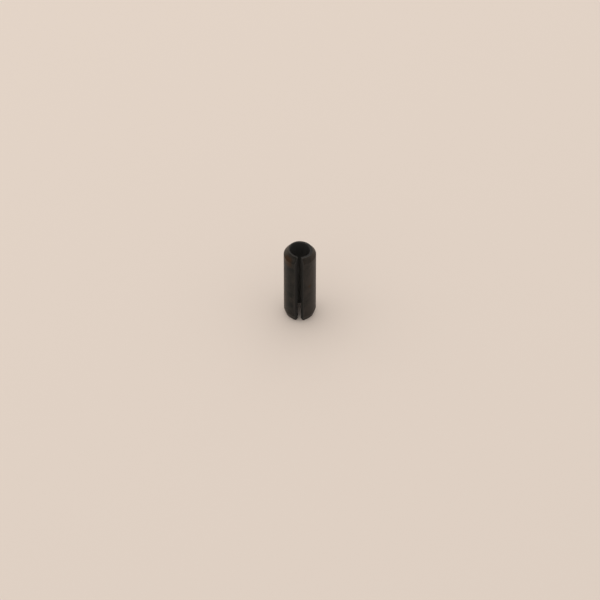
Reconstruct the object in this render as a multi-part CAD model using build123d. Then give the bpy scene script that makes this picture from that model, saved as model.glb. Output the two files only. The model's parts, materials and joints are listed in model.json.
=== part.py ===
"""Slotted spring pin, nominal 5 x 14 mm: one strip of spring steel, rolled into a C.

Millimetres and degrees. +Z runs up the pin, the origin is on the roll's axis at the lower
end, and the slot faces -Y.
"""

import os
from math import cos, radians, sin, tan

from build123d import *

# Driving dimensions
pin_length = 14.4  # end to end, on the axis
outer_diameter = 5.45  # across the round back, before the pin is driven in
strip_thickness = 1.0
slot_gap = 1.0  # between the strip's two edges, at half its thickness
lip_angle = 31.0  # from the slot's middle to where the bend stops and a lip runs on flat
lower_lead_length = 1.05  # lead-in chamfer of the lower end, along the pin
lower_lead_depth = 0.32  # and into the wall
upper_lead_length = 0.95  # lead-in chamfer of the upper end, which leaves little of the end face
upper_rim = 0.13  # the least width of that face, on the upper end's highest side
shoulder_radius = 0.5  # eases each lead-in into the wall
top_slant = 5.0  # the upper end is cut this far out of square, low on the +X side
edge_break = 0.09  # rounding that tumbling leaves on the strip's sharp edges

tolerance = 1e-4
outer_radius = outer_diameter / 2
bend_radius = outer_radius - strip_thickness / 2
lip_lean = radians(lip_angle)
slant = radians(top_slant)
slant_rise = outer_radius * tan(slant)


def rolled_section():
    """The strip seen end on: a round bend and two flat lips, its edges square to it."""
    lip_flat = (bend_radius * sin(lip_lean) - slot_gap / 2) / cos(lip_lean)
    bend = CenterArc((0, 0), bend_radius, lip_angle - 90, 360 - 2 * lip_angle)
    right_lip = Line(bend @ 0 - (bend % 0) * lip_flat, bend @ 0)
    left_lip = Line(bend @ 1, bend @ 1 + (bend % 1) * lip_flat)
    return trace([right_lip, bend, left_lip], strip_thickness)


def outer_edges(solid, height):
    """The edges at this height that run along the strip's outer side, lips included."""
    level = solid.edges().filter_by_position(Axis.Z, height - tolerance, height + tolerance)
    middle = Vector(0, 0, height)
    return level.filter_by(lambda edge: abs(edge.distance_to(middle) - outer_radius) < tolerance)


def add_lead_in(solid, end_face, length, depth):
    """Chamfer one end's outer rim to this length and depth, and ease it into the wall."""
    height = end_face.center().Z
    chamfered = chamfer(outer_edges(solid, height), depth, length, reference=end_face)
    shoulder_height = height - length * end_face.normal_at().Z
    return fillet(outer_edges(chamfered, shoulder_height), shoulder_radius)


def cut_upper_end(solid):
    """Trim the upper end on its slant, so that the axis keeps the pin's full length."""
    saw = Plane(origin=(0, 0, pin_length), z_dir=(sin(slant), 0, cos(slant)))
    return split(solid, bisect_by=saw, keep=Keep.BOTTOM)


def slot_faces(solid):
    """The strip's two edges, which face each other and forwards across the slot."""
    flats = solid.faces().filter_by(GeomType.PLANE)
    forward = flats.filter_by(lambda face: face.normal_at().Y < -tolerance)
    return forward.filter_by(lambda face: face.normal_at().X * face.center().X < 0)


def break_sharp_edges(solid):
    """Round every edge of the two ends and of the slot."""
    by_height = solid.faces().sort_by(Axis.Z)
    cut_faces = [by_height[0], by_height[-1], *slot_faces(solid)]
    return fillet({edge for face in cut_faces for edge in face.edges()}, edge_break)


def rolled_pin():
    """Roll the strip over length, shape both ends, cut to length and tumble."""
    pin = extrude(rolled_section(), pin_length + slant_rise)
    pin = add_lead_in(pin, pin.faces().sort_by(Axis.Z)[0], lower_lead_length, lower_lead_depth)
    # The upper lead-in starts from the length that the saw takes off, where its rim is narrowest
    length = upper_lead_length + slant_rise
    pin = add_lead_in(pin, pin.faces().sort_by(Axis.Z)[-1], length, strip_thickness - upper_rim)
    return break_sharp_edges(cut_upper_end(pin))


os.makedirs("parts", exist_ok=True)
export_step(rolled_pin(), "parts/spring_pin.step")
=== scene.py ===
# %% [markdown]
# # A slotted spring pin in blackened steel
# The pin is one strip of spring steel, rolled into a split tube. The CAD model already has its
# true size, so this lesson loads that model as a frame and makes the visible pin inside it.
# The visible pin is made again, and not only painted, because a mesh that remembers where each
# point lay on the flat strip can carry the mill's marks round the bend as the real steel does.

# %% Load the frame
import json
import math

import bpy
from mathutils import Matrix, Vector


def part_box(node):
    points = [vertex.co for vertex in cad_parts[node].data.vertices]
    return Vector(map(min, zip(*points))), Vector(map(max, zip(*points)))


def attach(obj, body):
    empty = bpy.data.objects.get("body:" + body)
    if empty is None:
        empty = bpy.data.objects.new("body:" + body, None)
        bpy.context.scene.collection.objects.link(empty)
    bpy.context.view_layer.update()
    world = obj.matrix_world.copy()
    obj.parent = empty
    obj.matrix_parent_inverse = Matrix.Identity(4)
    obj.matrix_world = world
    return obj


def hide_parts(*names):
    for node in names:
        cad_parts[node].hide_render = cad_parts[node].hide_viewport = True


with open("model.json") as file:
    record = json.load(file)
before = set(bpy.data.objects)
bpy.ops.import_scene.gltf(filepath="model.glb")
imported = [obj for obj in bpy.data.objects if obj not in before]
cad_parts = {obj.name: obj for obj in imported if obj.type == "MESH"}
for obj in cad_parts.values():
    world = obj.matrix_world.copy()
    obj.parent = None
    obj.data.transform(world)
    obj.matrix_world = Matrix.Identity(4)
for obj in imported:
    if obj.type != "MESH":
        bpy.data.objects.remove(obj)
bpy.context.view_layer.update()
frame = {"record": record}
cad_low, cad_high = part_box("spring_pin")
print("CAD box in mm:", [round(1000 * side, 3) for side in cad_high - cad_low])

# %% [markdown]
# ## The sizes of the pin
# A maker's drawing of a spring pin gives a handful of sizes, and everything else follows. What
# the frame can tell is read from it: the width of the round back, and the bore from its mount.
# The rest repeats the drawing. Working in metres with a named millimetre keeps both readable.

# %% Sizes
MM = 0.001
bore_mount = next(mount for mount in frame["record"]["mounts"] if mount["name"] == "bore")
outer_radius = (cad_high.x - cad_low.x) / 2
strip_thickness = outer_radius - bore_mount["dims"]["r_mm"] * MM
pin_length = 14.4 * MM
slot_gap = 1.0 * MM
lip_angle = math.radians(31)
lower_lead_length = 1.05 * MM
lower_lead_depth = 0.32 * MM
upper_lead_length = 0.95 * MM
upper_rim = 0.13 * MM
shoulder_radius = 0.5 * MM
top_slant = math.radians(5)
edge_break = 0.09 * MM
print("outer diameter", round(2000 * outer_radius, 2), "strip", round(1000 * strip_thickness, 2), "mm")

# %% [markdown]
# ## The strip before it is rolled
# A press shop works out how wide to slit the strip: the length of the bend along the middle of
# its thickness, plus the two flat lips beside the slot. The same sum gives the flat blank here.

# %% Developed width
bend_radius = outer_radius - strip_thickness / 2
bend_reach = (math.pi - lip_angle) * bend_radius
lip_flat = (bend_radius * math.sin(lip_angle) - slot_gap / 2) / math.cos(lip_angle)
strip_width = 2 * (bend_reach + lip_flat)
slant_rise = outer_radius * math.tan(top_slant)
upper_lead_slope = (strip_thickness - upper_rim) / (upper_lead_length + slant_rise)
upper_lead_depth = upper_lead_length * upper_lead_slope
print("the strip is slit", round(1000 * strip_width, 2), "mm wide")
print("each flat lip is", round(1000 * lip_flat, 2), "mm")

# %% [markdown]
# ## One helper for every node tree
# Geometry and shading are both built from nodes. A node needs a kind, some settings, and inputs
# that are either plain values or the outputs of other nodes. One small function covers all three,
# so that the cells below read as a list of steps.

# %% Node helper
def add(tree, kind, settings=None, inputs=None):
    """Add a node, set its properties, and fill its inputs with values or with other outputs."""
    node = tree.nodes.new(kind)
    for name, value in (settings or {}).items():
        setattr(node, name, value)
    for key, value in (inputs or {}).items():
        if isinstance(value, bpy.types.NodeSocket):
            tree.links.new(value, node.inputs[key])
        else:
            node.inputs[key].default_value = value
    return node

# %% [markdown]
# ## A tree that rolls a pin
# The shape follows a rule, so Geometry Nodes suit it: the tree takes the drawing's sizes as named
# inputs, and anyone can type in another pin. Each input gets a real size as its default.

# %% Start the rolling tree
ROLL_SIZES = {
    "Strip Width": strip_width,
    "Strip Thickness": strip_thickness,
    "Pin Length": pin_length,
    "Bend Radius": bend_radius,
    "Bend Reach": bend_reach,
    "Edge Break": edge_break,
    "Lower Lead Length": lower_lead_length,
    "Lower Lead Depth": lower_lead_depth,
    "Upper Lead Length": upper_lead_length,
    "Upper Lead Depth": upper_lead_depth,
    "Top Slope": math.tan(top_slant),
}
roll = bpy.data.node_groups.new("Roll a spring pin", "GeometryNodeTree")
roll.interface.new_socket("Geometry", in_out="OUTPUT", socket_type="NodeSocketGeometry")
for size_name, size in ROLL_SIZES.items():
    roll.interface.new_socket(size_name, in_out="INPUT", socket_type="NodeSocketFloat").default_value = size
roll.interface.new_socket("Steel", in_out="INPUT", socket_type="NodeSocketMaterial")
sizes = roll.nodes.new("NodeGroupInput").outputs
print("inputs:", ", ".join(ROLL_SIZES))

# %% [markdown]
# ## The flat blank
# The blank is a block one unit wide, deep and high, cut into a fine grid. A sine wave pulls the
# grid lines towards the block's edges, where the tumbled rounding and the lead-ins need them, and
# leaves wide ones on the plain wall. Then the block is stretched to the strip's real size.

# %% Flat blank
COLUMNS, LAYERS, ROWS = 221, 14, 133
EDGE_CROWDING = 0.82
blank = add(roll, "GeometryNodeMeshCube", inputs={
    "Size": (1, 1, 1), "Vertices X": COLUMNS, "Vertices Y": LAYERS, "Vertices Z": ROWS})
grid_place = add(roll, "GeometryNodeInputPosition").outputs[0]
wave_phase = add(roll, "ShaderNodeVectorMath", {"operation": "SCALE"}, {
    0: grid_place, "Scale": math.tau}).outputs[0]
wave = add(roll, "ShaderNodeVectorMath", {"operation": "SINE"}, {0: wave_phase}).outputs[0]
crowding = (EDGE_CROWDING / math.tau,) * 3
crowded = add(roll, "ShaderNodeVectorMath", {"operation": "MULTIPLY_ADD"},
              {0: wave, 1: crowding, 2: grid_place}).outputs[0]
strip_size = add(roll, "ShaderNodeCombineXYZ", inputs={
    "X": sizes["Strip Width"], "Y": sizes["Strip Thickness"], "Z": sizes["Pin Length"]}).outputs[0]
flat_place = add(roll, "ShaderNodeVectorMath", {"operation": "MULTIPLY"}, {
    0: crowded, 1: strip_size}).outputs[0]
print("blank grid:", COLUMNS, "x", LAYERS, "x", ROWS)

# %% [markdown]
# ## Tumbled edges
# After cutting, the pins are tumbled in a barrel until no edge is sharp. A rounded block is the
# set of points one radius away from a smaller block, so each point is clamped into the smaller
# block and then pushed one radius outwards. The outward direction is worth keeping: it says which
# face a point belongs to, and on a rounded edge it points between two faces.

# %% Tumble the edges
half_size = add(roll, "ShaderNodeVectorMath", {"operation": "SCALE"}, {
    0: strip_size, "Scale": 0.5}).outputs[0]
radius_each_way = add(roll, "ShaderNodeCombineXYZ", inputs={
    "X": sizes["Edge Break"], "Y": sizes["Edge Break"], "Z": sizes["Edge Break"]}).outputs[0]
core = add(roll, "ShaderNodeVectorMath", {"operation": "SUBTRACT"}, {
    0: half_size, 1: radius_each_way}).outputs[0]
core_other_side = add(roll, "ShaderNodeVectorMath", {"operation": "SCALE"}, {
    0: core, "Scale": -1}).outputs[0]
raised = add(roll, "ShaderNodeVectorMath", {"operation": "MAXIMUM"}, {
    0: flat_place, 1: core_other_side}).outputs[0]
nearest = add(roll, "ShaderNodeVectorMath", {"operation": "MINIMUM"}, {0: raised, 1: core}).outputs[0]
away = add(roll, "ShaderNodeVectorMath", {"operation": "SUBTRACT"}, {0: flat_place, 1: nearest}).outputs[0]
outwards = add(roll, "ShaderNodeVectorMath", {"operation": "NORMALIZE"}, {0: away}).outputs[0]
tumbled = add(roll, "ShaderNodeVectorMath", {"operation": "MULTIPLY_ADD"},
              {0: outwards, 1: radius_each_way, 2: nearest}).outputs[0]
print("edges rounded to", round(1000 * edge_break, 2), "mm")

# %% [markdown]
# ## What each point remembers
# Two named attributes travel with the mesh: where the point lay on the flat strip, and which way
# it faced there. The finish reads them later, so that mill lines run straight along the steel and
# wear with a painted highlight sits on the edges, with no seam anywhere.

# %% Store the flat place and direction
remember_place = add(roll, "GeometryNodeStoreNamedAttribute", {
    "data_type": "FLOAT_VECTOR", "domain": "POINT"},
                     {"Geometry": blank.outputs[0], "Name": "strip_place", "Value": tumbled}).outputs[0]
remembered = add(roll, "GeometryNodeStoreNamedAttribute", {"data_type": "FLOAT_VECTOR", "domain": "POINT"},
                 {"Geometry": remember_place, "Name": "strip_facing", "Value": outwards}).outputs[0]
strip_place = add(roll, "GeometryNodeInputNamedAttribute", {"data_type": "FLOAT_VECTOR"},
                  {"Name": "strip_place"}).outputs["Attribute"]
on_strip = add(roll, "ShaderNodeSeparateXYZ", inputs={0: strip_place}).outputs
print("attributes: strip_place, strip_facing")

# %% [markdown]
# ## Lead-ins
# Both ends are chamfered on the outside so that the pin starts into its hole. A point's recess
# grows from nothing at the chamfer's shoulder to its full depth at the end. A smooth maximum
# eases the shoulder, and the recess fades through the wall, so that the bore keeps its size.

# %% Distance from each end
def shoulder_share(length, depth):
    """How much of a lead-in's length its rounded shoulder takes up on each side."""
    return shoulder_radius * math.tan(math.atan(depth / length) / 2) / length


half_length = add(roll, "ShaderNodeMath", {"operation": "MULTIPLY"}, {
    0: sizes["Pin Length"], 1: 0.5}).outputs[0]
height = add(roll, "ShaderNodeMath", {"operation": "ADD"}, {0: on_strip["Z"], 1: half_length}).outputs[0]
from_top = add(roll, "ShaderNodeMath", {"operation": "SUBTRACT"}, {
    0: half_length, 1: on_strip["Z"]}).outputs[0]
lower_share = add(roll, "ShaderNodeMath", {"operation": "DIVIDE"}, {
    0: height, 1: sizes["Lower Lead Length"]}).outputs[0]
upper_share = add(roll, "ShaderNodeMath", {"operation": "DIVIDE"}, {
    0: from_top, 1: sizes["Upper Lead Length"]}).outputs[0]
lower_ease = shoulder_share(lower_lead_length, lower_lead_depth)
upper_ease = shoulder_share(upper_lead_length, upper_lead_depth)
print("shoulders take", round(lower_ease, 2), "and", round(upper_ease, 2), "of their lead-ins")

# %% Recess of each lead-in
lower_rise = add(roll, "ShaderNodeMath", {"operation": "SUBTRACT"}, {0: 1.0, 1: lower_share}).outputs[0]
upper_rise = add(roll, "ShaderNodeMath", {"operation": "SUBTRACT"}, {0: 1.0, 1: upper_share}).outputs[0]
lower_eased = add(roll, "ShaderNodeMath", {"operation": "SMOOTH_MAX"},
                  {0: lower_rise, 1: 0.0, 2: lower_ease}).outputs[0]
upper_eased = add(roll, "ShaderNodeMath", {"operation": "SMOOTH_MAX"},
                  {0: upper_rise, 1: 0.0, 2: upper_ease}).outputs[0]
lower_recess = add(roll, "ShaderNodeMath", {"operation": "MULTIPLY"},
                   {0: lower_eased, 1: sizes["Lower Lead Depth"]}).outputs[0]
upper_recess = add(roll, "ShaderNodeMath", {"operation": "MULTIPLY"},
                   {0: upper_eased, 1: sizes["Upper Lead Depth"]}).outputs[0]
print("lead-ins", round(1000 * lower_lead_depth, 2), "and", round(1000 * upper_lead_depth, 2), "mm deep")

# %% [markdown]
# ## The bend
# The middle of the strip wraps round the mandrel, and what lies beyond the bend's reach stays
# flat and runs on along the tangent. Clamping the place along the strip splits it into those two
# parts. The turn is then one rotation about the pin's axis.

# %% Turn and lip
reach_other_way = add(roll, "ShaderNodeMath", {"operation": "MULTIPLY"}, {
    0: sizes["Bend Reach"], 1: -1.0}).outputs[0]
on_bend = add(roll, "ShaderNodeClamp", inputs={
    "Value": on_strip["X"], "Min": reach_other_way, "Max": sizes["Bend Reach"]}).outputs[0]
on_lip = add(roll, "ShaderNodeMath", {"operation": "SUBTRACT"}, {0: on_strip["X"], 1: on_bend}).outputs[0]
turn = add(roll, "ShaderNodeMath", {"operation": "DIVIDE"}, {
    0: on_bend, 1: sizes["Bend Radius"]}).outputs[0]
turn_clockwise = add(roll, "ShaderNodeMath", {"operation": "MULTIPLY"}, {0: turn, 1: -1.0}).outputs[0]
print("the bend turns through", round(math.degrees(2 * bend_reach / bend_radius)), "degrees")

# %% [markdown]
# ## The upper end is out of square
# The cut at the upper end slants, low on the +X side. The chamfer was made first, so the slanted
# cut leaves more of it on the high side: the upper recess grows or shrinks with the distance from
# the axis across the slant.

# %% Slant the upper recess
sideways = add(roll, "ShaderNodeMath", {"operation": "SINE"}, {0: turn}).outputs[0]
across = add(roll, "ShaderNodeMath", {"operation": "MULTIPLY"}, {
    0: sideways, 1: sizes["Bend Radius"]}).outputs[0]
drop = add(roll, "ShaderNodeMath", {"operation": "MULTIPLY"}, {0: across, 1: sizes["Top Slope"]}).outputs[0]
drop_share = add(roll, "ShaderNodeMath", {"operation": "DIVIDE"}, {
    0: drop, 1: sizes["Upper Lead Length"]}).outputs[0]
kept_share = add(roll, "ShaderNodeMath", {"operation": "SUBTRACT"}, {0: 1.0, 1: drop_share}).outputs[0]
upper_cut = add(roll, "ShaderNodeMath", {"operation": "MULTIPLY"}, {
    0: upper_recess, 1: kept_share}).outputs[0]
recess = add(roll, "ShaderNodeMath", {"operation": "ADD"}, {0: lower_recess, 1: upper_cut}).outputs[0]
print("the upper end falls", round(2000 * outer_radius * math.tan(top_slant), 2), "mm across the pin")

# %% [markdown]
# ## The chamfer leaves the bore alone
# A chamfer takes steel from the skin only. The grid's layers run from the bore to the skin, so the
# recess is nothing at the bore and full at the skin, and the layers between share it out evenly.

# %% Fade the recess through the wall
half_thickness = add(roll, "ShaderNodeMath", {"operation": "MULTIPLY"}, {
    0: sizes["Strip Thickness"], 1: 0.5}).outputs[0]
skin_side = add(roll, "ShaderNodeMath", {"operation": "SUBTRACT"}, {
    0: half_thickness, 1: sizes["Edge Break"]}).outputs[0]
bore_side = add(roll, "ShaderNodeMath", {"operation": "MULTIPLY"}, {0: skin_side, 1: -1.0}).outputs[0]
outer_share = add(roll, "ShaderNodeMapRange", {"clamp": True}, {
    "Value": on_strip["Y"], "From Min": bore_side, "From Max": skin_side}).outputs["Result"]
cut_in = add(roll, "ShaderNodeMath", {"operation": "MULTIPLY"}, {0: recess, 1: outer_share}).outputs[0]
print("the bore wall keeps its radius of", round(1000 * (bend_radius - strip_thickness / 2), 3), "mm")

# %% [markdown]
# ## Rolling
# Now the strip is laid round the mandrel. Each point gets its distance from the axis and its
# height, and is then turned about the axis by its own angle.

# %% Roll the blank
full_radius = add(roll, "ShaderNodeMath", {"operation": "ADD"}, {
    0: sizes["Bend Radius"], 1: on_strip["Y"]}).outputs[0]
radius_here = add(roll, "ShaderNodeMath", {"operation": "SUBTRACT"}, {0: full_radius, 1: cut_in}).outputs[0]
before_turn = add(roll, "ShaderNodeCombineXYZ", inputs={
    "X": on_lip, "Y": radius_here, "Z": height}).outputs[0]
turned = add(roll, "ShaderNodeVectorRotate", {"rotation_type": "Z_AXIS"},
             {"Vector": before_turn, "Angle": turn_clockwise}).outputs[0]
rolled = add(roll, "GeometryNodeSetPosition", inputs={
    "Geometry": remembered, "Position": turned}).outputs[0]
print("nodes so far:", len(roll.nodes))

# %% [markdown]
# ## The slanted cut itself
# The end face has to be flat, so the drop is worked out again from where each point now is. It
# fades out over the length of the lead-in, and the plain wall below stays straight.

# %% Slant the upper end
here = add(roll, "ShaderNodeSeparateXYZ", inputs={
    0: add(roll, "GeometryNodeInputPosition").outputs[0]}).outputs
true_drop = add(roll, "ShaderNodeMath", {"operation": "MULTIPLY"}, {
    0: here["X"], 1: sizes["Top Slope"]}).outputs[0]
end_share = add(roll, "ShaderNodeClamp", inputs={"Value": upper_rise, "Min": 0.0, "Max": 1.0}).outputs[0]
lowered = add(roll, "ShaderNodeMath", {"operation": "MULTIPLY"}, {0: true_drop, 1: end_share}).outputs[0]
downwards = add(roll, "ShaderNodeMath", {"operation": "MULTIPLY"}, {0: lowered, 1: -1.0}).outputs[0]
shift = add(roll, "ShaderNodeCombineXYZ", inputs={"Z": downwards}).outputs[0]
cut = add(roll, "GeometryNodeSetPosition", inputs={"Geometry": rolled, "Offset": shift}).outputs[0]
print("upper end cut", round(math.degrees(top_slant), 1), "degrees out of square")

# %% [markdown]
# ## The last nodes
# Smooth shading goes on because the rounded edges are real geometry. Realize Instances makes sure
# that nothing is left as an instance, and Set Material gives the mesh its steel.

# %% Finish the tree
smooth = add(roll, "GeometryNodeSetShadeSmooth", inputs={"Geometry": cut}).outputs[0]
real = add(roll, "GeometryNodeRealizeInstances", inputs={"Geometry": smooth}).outputs[0]
dressed = add(roll, "GeometryNodeSetMaterial", inputs={
    "Geometry": real, "Material": sizes["Steel"]}).outputs[0]
add(roll, "NodeGroupOutput", inputs={"Geometry": dressed})
print("rolling tree:", len(roll.nodes), "nodes")

# %% [markdown]
# ## Colours
# Colours are written as the hex codes that a paint chart or an image editor shows. Shaders add up
# light, so they need linear values, and one function turns the one into the other.

# %% Hex to linear
def colour(hex_code):
    """A shader colour from an sRGB hex code."""
    parts = [int(hex_code[place:place + 2], 16) / 255 for place in (1, 3, 5)]
    return (*[part / 12.92 if part <= 0.04045 else ((part + 0.055) / 1.055) ** 2.4 for part in parts], 1.0)

# %% [markdown]
# ## Oil-blackened spring steel
# Spring steel is hardened, tempered, boiled in a blackening salt and dipped in oil. That leaves a
# thin black oxide over bare metal: from straight on it is nearly black with a warm tinge, and
# towards its edges it shines like the metal below. The mill, the rolling tool and the tumbling
# barrel have each marked it, and each mark gets its own cell. The steel's own marks read the place
# on the flat strip. The oil, the paler +X side and the painted light at the foot read the place on
# the pin. Both places are in millimetres, so that every scale is a real size.

# %% Start the steel
steel = bpy.data.materials.new("oil_blackened_spring_steel")
steel.use_nodes = True
shade = steel.node_tree
shade.nodes.clear()
flat_spot = add(shade, "ShaderNodeAttribute", {"attribute_name": "strip_place"}).outputs["Vector"]
spot_mm = add(shade, "ShaderNodeVectorMath", {"operation": "SCALE"}, {
    0: flat_spot, "Scale": 1 / MM}).outputs[0]
spot_axes = add(shade, "ShaderNodeSeparateXYZ", inputs={0: spot_mm}).outputs
on_pin = add(shade, "ShaderNodeTexCoord").outputs["Object"]
on_pin_mm = add(shade, "ShaderNodeVectorMath", {"operation": "SCALE"}, {
    0: on_pin, "Scale": 1 / MM}).outputs[0]
pin_axes = add(shade, "ShaderNodeSeparateXYZ", inputs={0: on_pin_mm}).outputs
facing = add(shade, "ShaderNodeAttribute", {"attribute_name": "strip_facing"}).outputs["Vector"]
facing_axes = add(shade, "ShaderNodeSeparateXYZ", inputs={0: facing}).outputs
print("patterns run over", round(1000 * strip_width, 1), "x", round(1000 * pin_length, 1), "mm of strip")

# %% [markdown]
# ## Where the finish changes
# Four parts of the pin are coloured differently. The skin was rubbed by the rolling tool. The
# slot's walls and the ends get painted shade, and the bore gets painted light that grows with
# depth. The lead-ins are paler, partly from swaging and partly as a painted highlight on the
# chamfers, with painted shade near the slot. The broken edges are rubbed nearly bright, with a painted
# highlight.

# %% Masks
SKIN_FACING = (0.3, 0.95)  # how squarely the strip's outer side is faced, from none of it to all
BORE_FACING = (-0.3, -0.9)  # the same for its inner side
EDGE_FACING = (0.99, 0.8)  # largest share of one direction, from a plain face to a broken edge
skin = add(shade, "ShaderNodeMapRange", {"interpolation_type": "SMOOTHSTEP"}, {
    "Value": facing_axes["Y"], "From Min": SKIN_FACING[0], "From Max": SKIN_FACING[1]}).outputs["Result"]
from_middle = add(shade, "ShaderNodeMath", {"operation": "ABSOLUTE"}, {0: spot_axes["Z"]}).outputs[0]
half_length_mm = pin_length / MM / 2
LEAD_IN_FADE = (1.25, 0.75)  # mm from each end, from where the paler tone and painted highlight start to full
SLOT_SHADE_FADE = (0.9, 2.6)  # mm from the slot, over which the lead-in's painted shade gives way
MOUTH_FADE = (0.3, 8.0)  # mm below the mouth, over which the bore's painted light comes in
MOUTH_SHARE = 0.08  # of that painted light, at the mouth itself
near_end = add(shade, "ShaderNodeMapRange", {"interpolation_type": "SMOOTHSTEP"}, {
    "Value": from_middle, "From Min": half_length_mm - LEAD_IN_FADE[0],
    "From Max": half_length_mm - LEAD_IN_FADE[1]}).outputs["Result"]
across_strip = add(shade, "ShaderNodeMath", {"operation": "ABSOLUTE"}, {0: spot_axes["X"]}).outputs[0]
half_width_mm = strip_width / MM / 2
# Near the slot the lead-in stays dark: painted shade on the chamfer's front.
lit_off_slot = add(shade, "ShaderNodeMapRange", {"interpolation_type": "SMOOTHSTEP"}, {
    "Value": across_strip, "From Min": half_width_mm - SLOT_SHADE_FADE[0],
    "From Max": half_width_mm - SLOT_SHADE_FADE[1]}).outputs["Result"]
lead_in_light = add(shade, "ShaderNodeMath", {"operation": "MULTIPLY"}, {0: near_end, 1: lit_off_slot}).outputs[0]
below_mouth = add(shade, "ShaderNodeMath", {"operation": "SUBTRACT"}, {
    0: half_length_mm, 1: spot_axes["Z"]}).outputs[0]
# Deeper in the bore the colour turns paler: painted light that lifts the dark hollow.
bore_depth = add(shade, "ShaderNodeMapRange", {"interpolation_type": "SMOOTHSTEP"}, {
    "Value": below_mouth, "From Min": MOUTH_FADE[0], "From Max": MOUTH_FADE[1],
    "To Min": MOUTH_SHARE}).outputs["Result"]
bore_wall = add(shade, "ShaderNodeMapRange", {"interpolation_type": "SMOOTHSTEP"}, {
    "Value": facing_axes["Y"], "From Min": BORE_FACING[0], "From Max": BORE_FACING[1]}).outputs["Result"]
deep = add(shade, "ShaderNodeMath", {"operation": "MULTIPLY"}, {0: bore_depth, 1: bore_wall}).outputs[0]
facing_size = add(shade, "ShaderNodeVectorMath", {"operation": "ABSOLUTE"}, {0: facing}).outputs[0]
facing_sizes = add(shade, "ShaderNodeSeparateXYZ", inputs={0: facing_size}).outputs
larger = add(shade, "ShaderNodeMath", {"operation": "MAXIMUM"}, {
    0: facing_sizes["X"], 1: facing_sizes["Y"]}).outputs[0]
largest = add(shade, "ShaderNodeMath", {"operation": "MAXIMUM"}, {
    0: larger, 1: facing_sizes["Z"]}).outputs[0]
broken_edge = add(shade, "ShaderNodeMapRange", {"interpolation_type": "SMOOTHSTEP"}, {
    "Value": largest, "From Min": EDGE_FACING[0], "From Max": EDGE_FACING[1]}).outputs["Result"]
print("lead-ins turn paler over", LEAD_IN_FADE[0] - LEAD_IN_FADE[1], "mm")

# %% [markdown]
# ## Mill lines
# The strip's own rolling leaves fine lines along the pin. Real ones lie 0.02 to 0.05 mm apart,
# too fine to show, so they are drawn about 0.15 mm apart. Squeezing the length before a noise
# turns its blobs into lines.

# %% Mill lines
LINES_PER_MM = 6.5
LINE_STRETCH = 22
NOISE_LOW, NOISE_HIGH = 0.3, 0.7  # nearly all of a noise's values lie between these
squeezed = add(shade, "ShaderNodeMapping", inputs={
    "Vector": spot_mm, "Scale": (1, 1, 1 / LINE_STRETCH)}).outputs[0]
mill_lines = add(shade, "ShaderNodeTexNoise", inputs={
    "Vector": squeezed, "Scale": LINES_PER_MM, "Detail": 3.0, "Roughness": 0.55}).outputs["Fac"]
print("mill lines", round(1 / LINES_PER_MM, 2), "mm apart")
print("mill lines", round(LINE_STRETCH / LINES_PER_MM, 1), "mm long")

# %% [markdown]
# ## Cloudy oxide
# Blackening salt never takes quite evenly. Clouds of thicker and thinner oxide about 1 mm wide
# change the tone, and grains about 0.25 mm wide break them up. Both are one kind of node at two
# scales. The +X side is made a little paler. The lower end is paler too, as painted light for the
# bright floor that it reflects.

# %% Oxide clouds and grain
CLOUDS_PER_MM = 0.9
GRAINS_PER_MM = 4.0
# The foot's paling is painted light for the reflected floor; the +X side is only made paler.
SIDE_PALING, FOOT_PAINTED_LIGHT = 0.18, 0.14
SIDE_REACH = (0.0, 1.6)  # mm towards +X, over which the side turns paler
FOOT_REACH = (6.0, 1.0)  # mm above the lower end, over which the foot's painted light comes in
THINNING = (0.42, 0.76)  # cloud values, from the first thin oxide to where all of it is thin
clouds = add(shade, "ShaderNodeTexNoise", inputs={
    "Vector": spot_mm, "Scale": CLOUDS_PER_MM, "Detail": 4.0, "Roughness": 0.6,
    "Distortion": 0.3}).outputs["Fac"]
grains = add(shade, "ShaderNodeTexNoise", inputs={
    "Vector": spot_mm, "Scale": GRAINS_PER_MM, "Detail": 3.0, "Roughness": 0.65}).outputs["Fac"]
# Paler towards the +X side.
paler_side = add(shade, "ShaderNodeMapRange", {"interpolation_type": "SMOOTHSTEP"}, {
    "Value": pin_axes["X"], "From Min": SIDE_REACH[0], "From Max": SIDE_REACH[1]}).outputs["Result"]
# Painted light at the lower end, standing in for the bright floor it reflects.
foot_light = add(shade, "ShaderNodeMapRange", {"interpolation_type": "SMOOTHSTEP"}, {
    "Value": pin_axes["Z"], "From Min": FOOT_REACH[0], "From Max": FOOT_REACH[1]}).outputs["Result"]
clouds_and_foot_light = add(shade, "ShaderNodeMath", {"operation": "MULTIPLY_ADD"}, {
    0: foot_light, 1: FOOT_PAINTED_LIGHT, 2: clouds}).outputs[0]
clouds_side_and_foot = add(shade, "ShaderNodeMath", {"operation": "MULTIPLY_ADD"}, {
    0: paler_side, 1: SIDE_PALING, 2: clouds_and_foot_light}).outputs[0]
cloud_share = add(shade, "ShaderNodeMapRange", inputs={
    "Value": clouds_side_and_foot, "From Min": THINNING[0], "From Max": THINNING[1]}).outputs["Result"]
grain_share = add(shade, "ShaderNodeMapRange", inputs={
    "Value": grains, "From Min": 0.35, "From Max": 0.65}).outputs["Result"]
print("clouds", round(1 / CLOUDS_PER_MM, 1), "mm, grains", round(1 / GRAINS_PER_MM, 2), "mm")

# %% [markdown]
# ## Tumbling dents
# In the barrel the pins knock against each other, which leaves tiny shallow dents. Cells of a
# Voronoi pattern are cut so that only the smallest distances stay, and each makes one dent.

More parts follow.
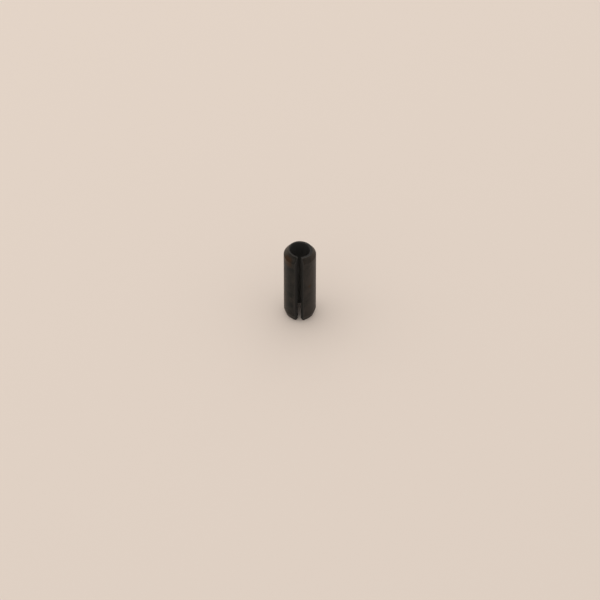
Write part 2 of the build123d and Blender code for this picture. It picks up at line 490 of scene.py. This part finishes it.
# %% Tumbling dents
DENTS_PER_MM = 2.2
DENT_RADIUS = 0.22  # in cells
dent_distance = add(shade, "ShaderNodeTexVoronoi", inputs={
    "Vector": spot_mm, "Scale": DENTS_PER_MM, "Randomness": 1.0}).outputs["Distance"]
dents = add(shade, "ShaderNodeMapRange", {"interpolation_type": "SMOOTHSTEP"}, {
    "Value": dent_distance, "From Min": 0.0, "From Max": DENT_RADIUS}).outputs["Result"]
print("dents about", round(1 / DENTS_PER_MM, 2), "mm apart")

# %% [markdown]
# ## Oil film
# The dried oil is faintly brown and gathers in patches. Most of it lies down the -X side, so the
# patch pattern is weighed towards that side.

# %% Oil film
FILM_STRENGTH = 0.6
FILM_PATCHES_PER_MM = 0.7
FILM_SIDE_WEIGHT = 0.3
FILM_REACH = (-1.9, -2.8)  # mm along X, over which that weight comes in
FILM_RANGE = (0.58, 0.88)  # weighed noise, from the first film to its full strength
film_noise = add(shade, "ShaderNodeTexNoise", inputs={
    "Vector": on_pin_mm, "Scale": FILM_PATCHES_PER_MM, "Detail": 4.0, "Roughness": 0.6}).outputs["Fac"]
film_side = add(shade, "ShaderNodeMapRange", {"interpolation_type": "SMOOTHSTEP"}, {
    "Value": pin_axes["X"], "From Min": FILM_REACH[0], "From Max": FILM_REACH[1]}).outputs["Result"]
film_weighed = add(shade, "ShaderNodeMath", {"operation": "MULTIPLY_ADD"}, {
    0: film_side, 1: FILM_SIDE_WEIGHT, 2: film_noise}).outputs[0]
film = add(shade, "ShaderNodeMapRange", {"interpolation_type": "SMOOTHSTEP"}, {
    "Value": film_weighed, "From Min": FILM_RANGE[0], "From Max": FILM_RANGE[1],
    "To Max": FILM_STRENGTH}).outputs["Result"]
print("oil patches about", round(1 / FILM_PATCHES_PER_MM, 1), "mm wide")

# %% [markdown]
# ## Oil spots
# Seen from the slot's side, two drops dried where they stood: a wide one on the left, just below
# the mouth, and a small one on the right, half way down. Each is everything within a distance of
# one point. The film's noise, which is 0.5 on average, roughens that distance and so the edge.

# %% Oil spots
OIL_SPOTS = [((-2.2, -1.65, 13.1), 1.35), ((1.75, -2.1, 8.0), 0.5)]
for centre, radius in OIL_SPOTS:
    away = add(shade, "ShaderNodeVectorMath", {"operation": "DISTANCE"}, {
        0: on_pin_mm, 1: centre}).outputs["Value"]
    uneven = add(shade, "ShaderNodeMath", {"operation": "MULTIPLY_ADD"}, {
        0: film_noise, 1: -2 * radius, 2: away}).outputs[0]
    spot = add(shade, "ShaderNodeMapRange", {"interpolation_type": "SMOOTHSTEP"}, {
        "Value": uneven, "From Min": 0.0, "From Max": -0.8 * radius}).outputs["Result"]
    film = add(shade, "ShaderNodeMath", {"operation": "MAXIMUM"}, {0: film, 1: spot}).outputs[0]
print(len(OIL_SPOTS), "oil spots, the wider", 2 * OIL_SPOTS[0][1], "mm across")

# %% [markdown]
# ## Colour
# The colours are laid one over another: thick and thin oxide by the clouds, then the lead-ins' paler
# tone and painted highlight, the brown film, the painted shade of the slot's walls and the ends, and
# the rubbed edges with their painted highlight. Lines and grains change the tone of all of them last.
# Deeper in the bore the colour turns paler, as painted light that lifts the dark hollow.

# %% Steel colour
THICK_OXIDE, THIN_OXIDE = colour("#1e2120"), colour("#3b3836")
DRIED_OIL = colour("#3d2f23")
LEAD_IN_PALE_AND_LIT, RUBBED_AND_HIGHLIGHT = colour("#403d39"), colour("#4a4743")
# The slot's walls and the ends get a darker colour as painted shade.
SLOT_WALL_PAINTED_SHADE, BORE_PAINTED_LIGHT = colour("#242423"), colour("#66645f")
LINE_TONE = (0.92, 1.09)  # darkest and palest, as shares of the colour below
GRAIN_TONE = (0.88, 1.12)
oxide = add(shade, "ShaderNodeMix", {"data_type": "RGBA"}, {
    0: cloud_share, 6: THICK_OXIDE, 7: THIN_OXIDE}).outputs[2]
line_tone = add(shade, "ShaderNodeMapRange", inputs={
    "Value": mill_lines, "From Min": NOISE_LOW, "From Max": NOISE_HIGH,
    "To Min": LINE_TONE[0], "To Max": LINE_TONE[1]}).outputs["Result"]
grain_tone = add(shade, "ShaderNodeMapRange", inputs={
    "Value": grains, "From Min": NOISE_LOW, "From Max": NOISE_HIGH,
    "To Min": GRAIN_TONE[0], "To Max": GRAIN_TONE[1]}).outputs["Result"]
tone = add(shade, "ShaderNodeMath", {"operation": "MULTIPLY"}, {0: line_tone, 1: grain_tone}).outputs[0]
# The lead-ins' paler colour is partly swaged oxide and partly a painted highlight.
with_lead_in_light = add(shade, "ShaderNodeMix", {"data_type": "RGBA"}, {0: lead_in_light, 6: oxide, 7: LEAD_IN_PALE_AND_LIT}).outputs[2]
# Painted shade on the slot's walls and the ends, and painted light deep in the bore.
wall_painted_shade_and_light = add(shade, "ShaderNodeMix", {"data_type": "RGBA"}, {
    0: deep, 6: SLOT_WALL_PAINTED_SHADE, 7: BORE_PAINTED_LIGHT}).outputs[2]
filmed = add(shade, "ShaderNodeMix", {"data_type": "RGBA"}, {0: film, 6: with_lead_in_light, 7: DRIED_OIL}).outputs[2]
with_wall_shading = add(shade, "ShaderNodeMix", {"data_type": "RGBA"}, {0: skin, 6: wall_painted_shade_and_light, 7: filmed}).outputs[2]
# Broken edges turn paler: rubbed steel and partly a painted highlight.
edge_share = add(shade, "ShaderNodeMath", {"operation": "MULTIPLY"}, {
    0: broken_edge, 1: grain_share}).outputs[0]
edged = add(shade, "ShaderNodeMix", {"data_type": "RGBA"}, {0: edge_share, 6: with_wall_shading, 7: RUBBED_AND_HIGHLIGHT}).outputs[2]
toned = add(shade, "ShaderNodeVectorMath", {"operation": "SCALE"}, {0: edged, "Scale": tone}).outputs[0]
print("seven colours, from thick oxide to rubbed steel")

# %% [markdown]
# ## Roughness and metal
# Oxide is a mineral: where it is thick, it scatters light as a matt stone does, and the metal
# below shows less. So the scale in the bore is rough and hardly metallic, and the rubbed skin is
# smoother and mostly metallic. The grains vary the roughness a little, so highlights break up.

# %% Roughness and metal
SMOOTHEST_SKIN, ROUGHEST_SKIN, SCALE_ROUGHNESS, ROUGHNESS_GRAIN = 0.42, 0.54, 0.85, 0.05
SCALE_METAL, SKIN_METAL = 0.15, 0.92
skin_rough = add(shade, "ShaderNodeMapRange", inputs={
    "Value": clouds, "From Min": NOISE_LOW, "From Max": NOISE_HIGH,
    "To Min": SMOOTHEST_SKIN, "To Max": ROUGHEST_SKIN}).outputs["Result"]
rough_mix = add(shade, "ShaderNodeMix", {"data_type": "FLOAT"}, {
    0: skin, 2: SCALE_ROUGHNESS, 3: skin_rough}).outputs[0]
rough_grain = add(shade, "ShaderNodeMapRange", inputs={
    "Value": grains, "From Min": NOISE_LOW, "From Max": NOISE_HIGH,
    "To Min": -ROUGHNESS_GRAIN, "To Max": ROUGHNESS_GRAIN}).outputs["Result"]
roughness = add(shade, "ShaderNodeMath", {"operation": "ADD"}, {0: rough_mix, 1: rough_grain}).outputs[0]
metal_share = add(shade, "ShaderNodeMix", {"data_type": "FLOAT"}, {
    0: skin, 2: SCALE_METAL, 3: SKIN_METAL}).outputs[0]
print("skin roughness", SMOOTHEST_SKIN, "to", ROUGHEST_SKIN, "and scale", SCALE_ROUGHNESS)

# %% [markdown]
# ## Relief
# The same patterns raise the surface by about a hundredth of a millimetre, so that what the colour
# shows is also felt by the light. Each height is in metres.

# %% Relief and surface
LINE_RELIEF, GRAIN_RELIEF, DENT_RELIEF = 0.012 * MM, 0.02 * MM, 0.01 * MM
line_height = add(shade, "ShaderNodeMath", {"operation": "MULTIPLY"}, {
    0: mill_lines, 1: LINE_RELIEF}).outputs[0]
grain_height = add(shade, "ShaderNodeMath", {"operation": "MULTIPLY_ADD"}, {
    0: grains, 1: GRAIN_RELIEF, 2: line_height}).outputs[0]
relief = add(shade, "ShaderNodeMath", {"operation": "MULTIPLY_ADD"}, {
    0: dents, 1: DENT_RELIEF, 2: grain_height}).outputs[0]
bump = add(shade, "ShaderNodeBump", inputs={"Height": relief, "Distance": 1.0, "Strength": 1.0}).outputs[0]
surface = add(shade, "ShaderNodeBsdfPrincipled", inputs={
    "Base Color": toned, "Metallic": metal_share, "Roughness": roughness, "Normal": bump})
add(shade, "ShaderNodeOutputMaterial", inputs={"Surface": surface.outputs["BSDF"]})
print("steel:", len(shade.nodes), "nodes")

# %% [markdown]
# ## Rolling the pin
# A modifier runs the tree. Its inputs are set through each socket's identifier before anything is
# evaluated. The result is taken as a plain mesh, and the modifier goes away with its carrier.

# %% Make the pin
carrier = bpy.data.objects.new("rolling_bench", bpy.data.meshes.new("rolling_bench"))
bpy.context.scene.collection.objects.link(carrier)
bench = carrier.modifiers.new("roll", "NODES")
bench.node_group = roll
for socket in roll.interface.items_tree:
    if socket.in_out == "INPUT":
        bench[socket.identifier] = steel if socket.name == "Steel" else ROLL_SIZES[socket.name]
bpy.context.view_layer.update()
rolled_mesh = bpy.data.meshes.new_from_object(carrier.evaluated_get(bpy.context.evaluated_depsgraph_get()))
bpy.data.objects.remove(carrier)
rolled_mesh.name = "spring_pin_skin"
pin = bpy.data.objects.new("spring_pin_skin", rolled_mesh)
bpy.context.scene.collection.objects.link(pin)
rolled_mesh.materials.pop(index=0)
print("pin mesh:", len(rolled_mesh.polygons), "faces in", [used.name for used in rolled_mesh.materials])

# %% Put it in the frame
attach(pin, "root")
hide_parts("spring_pin")

# %% [markdown]
# ## Floor
# The pin stands on a plain pale warm sheet, large enough to fill every view.

# %% Floor
FLOOR_HALF = 3.0
CREAM = colour("#e0d1c4")
floor_mesh = bpy.data.meshes.new("pale_floor")
floor_mesh.from_pydata([(-FLOOR_HALF, -FLOOR_HALF, 0), (FLOOR_HALF, -FLOOR_HALF, 0),
                        (FLOOR_HALF, FLOOR_HALF, 0), (-FLOOR_HALF, FLOOR_HALF, 0)], [], [(0, 1, 2, 3)])
floor = bpy.data.objects.new("pale_floor", floor_mesh)
bpy.context.scene.collection.objects.link(floor)
paper = bpy.data.materials.new("matt_cream_card")
paper.use_nodes = True
paper.node_tree.nodes.clear()
card = add(paper.node_tree, "ShaderNodeBsdfPrincipled", inputs={
    "Base Color": CREAM, "Roughness": 0.9, "Specular IOR Level": 0.0})
add(paper.node_tree, "ShaderNodeOutputMaterial", inputs={"Surface": card.outputs["BSDF"]})
floor_mesh.materials.append(paper)

# %% [markdown]
# ## Light
# The pin stands in a white light tent, which lights it evenly from all round, so its shadow is a
# soft ring at the foot. Three weak softboxes, at the back, the left and the right, shape its sides
# a little. Each has a place in metres and a power in watts.

# %% Softboxes
BOX_SIDE = 0.6
SOFTBOXES = {
    "back_softbox": ((0, 0.45, 0.4), 0.5),
    "left_softbox": ((-0.4, 0.1, 0.4), 0.5),
    "right_softbox": ((0.4, 0.1, 0.4), 0.1),
}


def softbox(name, place, power):
    """A square soft lamp that faces the foot of the pin."""
    lamp_data = bpy.data.lights.new(name, "AREA")
    lamp_data.shape = "SQUARE"
    lamp_data.size = BOX_SIDE
    lamp_data.energy = power
    lamp = bpy.data.objects.new(name, lamp_data)
    lamp.location = place
    lamp.rotation_euler = (-Vector(place)).to_track_quat("-Z", "Y").to_euler()
    lamp.visible_camera = False
    bpy.context.scene.collection.objects.link(lamp)


for box_name, (box_place, box_power) in SOFTBOXES.items():
    softbox(box_name, box_place, box_power)
print("softboxes:", ", ".join(SOFTBOXES))

# %% [markdown]
# ## The tent
# The tent lights the scene as white, but what the camera and the metal's reflections see is the
# same cream as the sheet, as if it ran up behind the pin.

# %% Light tent
ROOM_STRENGTH = 0.84
room = bpy.data.worlds.new("light_tent")
bpy.context.scene.world = room
room.use_nodes = True
room.node_tree.nodes.clear()
tent_light = add(room.node_tree, "ShaderNodeBackground", inputs={
    "Color": (1, 1, 1, 1), "Strength": ROOM_STRENGTH})
backdrop = add(room.node_tree, "ShaderNodeBackground", inputs={"Color": CREAM, "Strength": 1.0})
ray = add(room.node_tree, "ShaderNodeLightPath").outputs
seen = add(room.node_tree, "ShaderNodeMath", {"operation": "MAXIMUM"}, {
    0: ray["Is Camera Ray"], 1: ray["Is Glossy Ray"]}).outputs[0]
seen_through = add(room.node_tree, "ShaderNodeMath", {"operation": "MAXIMUM"}, {
    0: seen, 1: ray["Is Transmission Ray"]}).outputs[0]
tent = add(room.node_tree, "ShaderNodeMixShader", inputs={
    0: seen_through, 1: tent_light.outputs[0], 2: backdrop.outputs[0]})
add(room.node_tree, "ShaderNodeOutputWorld", inputs={"Surface": tent.outputs[0]})
print("tent strength", ROOM_STRENGTH)

# %% [markdown]
# ## Camera
# A long lens looks down on the pin from the front, a little to the right of the slot.

# %% Camera
AZIMUTH = math.radians(2.5)
ELEVATION = math.radians(44.7)
CAMERA_DISTANCE = 0.572
VIEW_WIDTH = 0.10227
PICTURE_SIDE = 600
FOOT_PIXEL = (299.9, 310.33)
camera_data = bpy.data.cameras.new("camera")
camera_data.sensor_width = 36
camera_data.lens = camera_data.sensor_width * CAMERA_DISTANCE / VIEW_WIDTH
camera = bpy.data.objects.new("camera", camera_data)
bpy.context.scene.collection.objects.link(camera)
bpy.context.scene.camera = camera
level_reach = math.cos(ELEVATION)
backwards = Vector((math.sin(AZIMUTH) * level_reach, -math.cos(AZIMUTH) * level_reach, math.sin(ELEVATION)))
rightwards = Vector((math.cos(AZIMUTH), math.sin(AZIMUTH), 0))
upwards = backwards.cross(rightwards)
pixel = VIEW_WIDTH / PICTURE_SIDE
aim_right = (PICTURE_SIDE / 2 - FOOT_PIXEL[0]) * pixel
aim_up = (FOOT_PIXEL[1] - PICTURE_SIDE / 2) * pixel
aim = rightwards * aim_right + upwards * aim_up
turn_matrix = Matrix((rightwards, upwards, backwards)).transposed().to_4x4()
camera.matrix_world = Matrix.Translation(aim + backwards * CAMERA_DISTANCE) @ turn_matrix
print("lens", round(camera_data.lens, 1), "mm")

# %% [markdown]
# ## Colour management
# The Standard view shows colours as they are written.

# %% Close
bpy.context.scene.view_settings.view_transform = "Standard"
